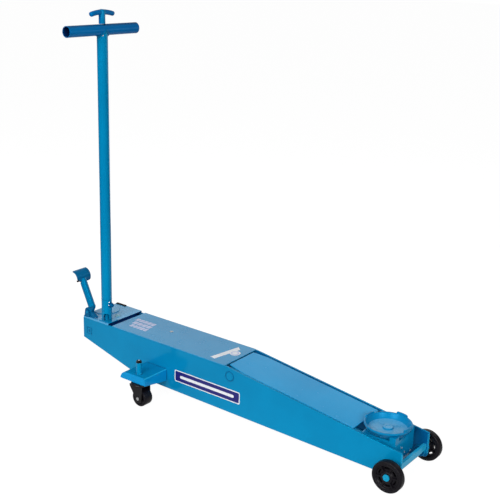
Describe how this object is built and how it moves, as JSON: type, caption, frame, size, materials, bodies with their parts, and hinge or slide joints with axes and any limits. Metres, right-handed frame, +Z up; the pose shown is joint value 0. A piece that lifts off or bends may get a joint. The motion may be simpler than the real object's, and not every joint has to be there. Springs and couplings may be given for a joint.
{
  "type": "hydraulic trolley jack",
  "caption": "Long-chassis hydraulic trolley jack with a lift arm, a level round saddle, swivel casters on outriggers, an upright T-handle with a release knob, and a foot pedal.",
  "frame": {"origin": "middle of the jack's footprint box, on the floor", "axes": "+X from the handle end to the saddle end, +Y to the jack's left, +Z up"},
  "size_m": [1.4122, 0.438, 1.3227],
  "materials": {
    "blue_paint": "semi-gloss",
    "light_blue_paint": "semi-gloss",
    "black_polymer": "satin",
    "black_steel": "satin black",
    "bright_steel": "zinc plated",
    "chrome_rod": "polished",
    "cast_iron": "machined casting",
    "black_rubber": "matt"
  },
  "bodies": {
    "chassis": {"side_plate_right": "blue_paint", "side_plate_left": "blue_paint", "front_cross_bar": "blue_paint", "rear_cross_plate": "blue_paint", "main_cover": "light_blue_paint", "cover_screw": "bright_steel", "deck_plate": "light_blue_paint", "deck_stop": "black_rubber", "deck_bolt": "light_blue_paint", "front_axle": "light_blue_paint", "axle_spacer_right": "blue_paint", "axle_spacer_left": "blue_paint", "outrigger_bracket_right": "blue_paint", "outrigger_bracket_left": "blue_paint", "arm_pivot_shaft": "blue_paint", "level_pin_right": "bright_steel", "level_pin_left": "bright_steel", "pump_block": "cast_iron", "ram_cylinder": "cast_iron", "ram_gland": "black_steel", "oil_reservoir": "blue_paint", "handle_base": "blue_paint", "handle_pin": "bright_steel", "pedal_pin": "bright_steel"},
    "front_wheel_right": {"front_wheel_right": "black_polymer"},
    "front_wheel_left": {"front_wheel_left": "black_polymer"},
    "caster_swivel_right": {"caster_fork_right": "black_steel", "caster_kingpin_right": "black_steel", "caster_axle_right": "bright_steel"},
    "caster_swivel_left": {"caster_fork_left": "black_steel", "caster_kingpin_left": "black_steel", "caster_axle_left": "bright_steel"},
    "caster_wheel_right": {"caster_wheel_right": "black_polymer"},
    "caster_wheel_left": {"caster_wheel_left": "black_polymer"},
    "lift_arm": {"arm_plate_right": "blue_paint", "arm_plate_left": "blue_paint", "arm_top_plate": "light_blue_paint", "arm_rocker": "blue_paint", "ram_lever_pin": "bright_steel", "carrier_pin_right": "bright_steel", "carrier_pin_left": "bright_steel"},
    "carrier": {"saddle_carrier": "blue_paint"},
    "saddle": {"saddle": "blue_paint"},
    "level_links": {"level_link_right": "blue_paint", "level_link_left": "blue_paint", "level_cross_pin": "bright_steel"},
    "ram": {"ram_rod": "chrome_rod", "ram_crosshead": "cast_iron"},
    "pump_plunger": {"pump_plunger": "chrome_rod"},
    "pedal_plunger": {"pedal_plunger": "chrome_rod"},
    "handle": {"handle_socket": "blue_paint", "handle_tube": "blue_paint", "handle_t_bar": "blue_paint", "handle_clamp_bolt": "blue_paint"},
    "release": {"release_rod": "bright_steel", "release_knob": "blue_paint"},
    "pedal": {"pedal_lever": "blue_paint", "pedal_pad": "blue_paint"}
  },
  "joints": [
    {"name": "arm_lift", "type": "hinge", "parent": "chassis", "child": "lift_arm", "pos_m": [0.02605, 0.0048, 0.17], "axis": [0, -1, 0], "range_deg": [0, 55]},
    {"name": "carrier_level", "type": "hinge", "parent": "lift_arm", "child": "carrier", "pos_m": [0.57905, 0.0048, 0.105], "axis": [0, -1, 0], "range_deg": [-55, 0]},
    {"name": "level_link_lift", "type": "hinge", "parent": "chassis", "child": "level_links", "pos_m": [0.02605, 0.0048, 0.11], "axis": [0, -1, 0], "range_deg": [0, 55]},
    {"name": "ram_extend", "type": "slide", "parent": "chassis", "child": "ram", "axis": [1, 0, 0], "range_m": [0, 0.07]},
    {"name": "saddle_swivel", "type": "hinge", "parent": "carrier", "child": "saddle", "pos_m": [0.57905, 0.0048, 0.1255], "axis": [0, 0, 1], "continuous": true},
    {"name": "front_wheel_right_spin", "type": "hinge", "parent": "chassis", "child": "front_wheel_right", "pos_m": [0.65565, -0.1187, 0.05046], "axis": [0, 1, 0], "continuous": true},
    {"name": "front_wheel_left_spin", "type": "hinge", "parent": "chassis", "child": "front_wheel_left", "pos_m": [0.65565, 0.1283, 0.05046], "axis": [0, 1, 0], "continuous": true},
    {"name": "caster_right_swivel", "type": "hinge", "parent": "chassis", "child": "caster_swivel_right", "pos_m": [-0.30095, -0.1752, 0.0835], "axis": [0, 0, 1], "continuous": true},
    {"name": "caster_right_spin", "type": "hinge", "parent": "caster_swivel_right", "child": "caster_wheel_right", "pos_m": [-0.28495, -0.1752, 0.03073], "axis": [0, 1, 0], "continuous": true},
    {"name": "caster_left_swivel", "type": "hinge", "parent": "chassis", "child": "caster_swivel_left", "pos_m": [-0.30095, 0.1848, 0.0835], "axis": [0, 0, 1], "continuous": true},
    {"name": "caster_left_spin", "type": "hinge", "parent": "caster_swivel_left", "child": "caster_wheel_left", "pos_m": [-0.28495, 0.1848, 0.03073], "axis": [0, 1, 0], "continuous": true},
    {"name": "handle_tilt", "type": "hinge", "parent": "chassis", "child": "handle", "pos_m": [-0.57445, -0.0572, 0.248], "axis": [0, -1, 0], "range_deg": [0, 35]},
    {"name": "pump_stroke", "type": "slide", "parent": "chassis", "child": "pump_plunger", "axis": [0, 0, -1], "range_m": [0, 0.0175]},
    {"name": "release_turn", "type": "hinge", "parent": "handle", "child": "release", "pos_m": [-0.57445, -0.0572, 1.27405], "axis": [0, 0, 1], "range_deg": [0, 120]},
    {"name": "pedal_press", "type": "hinge", "parent": "chassis", "child": "pedal", "pos_m": [-0.65295, -0.0702, 0.224], "axis": [0, -1, 0], "range_deg": [0, 30], "stiffness_Nm_per_rad": 8, "springref_deg": -20.05},
    {"name": "pedal_stroke", "type": "slide", "parent": "chassis", "child": "pedal_plunger", "axis": [0, 0, 1], "range_m": [0, 0.008]}
  ],
  "couplings": [
    {"joint": "carrier_level", "follows": "arm_lift", "ratio": -1},
    {"joint": "level_link_lift", "follows": "arm_lift", "ratio": 1},
    {"joint": "ram_extend", "follows": "arm_lift", "m_per_rad": 0.0721},
    {"joint": "pump_stroke", "follows": "handle_tilt", "m_per_rad": 0.028},
    {"joint": "pedal_stroke", "follows": "pedal_press", "m_per_rad": 0.015}
  ]
}
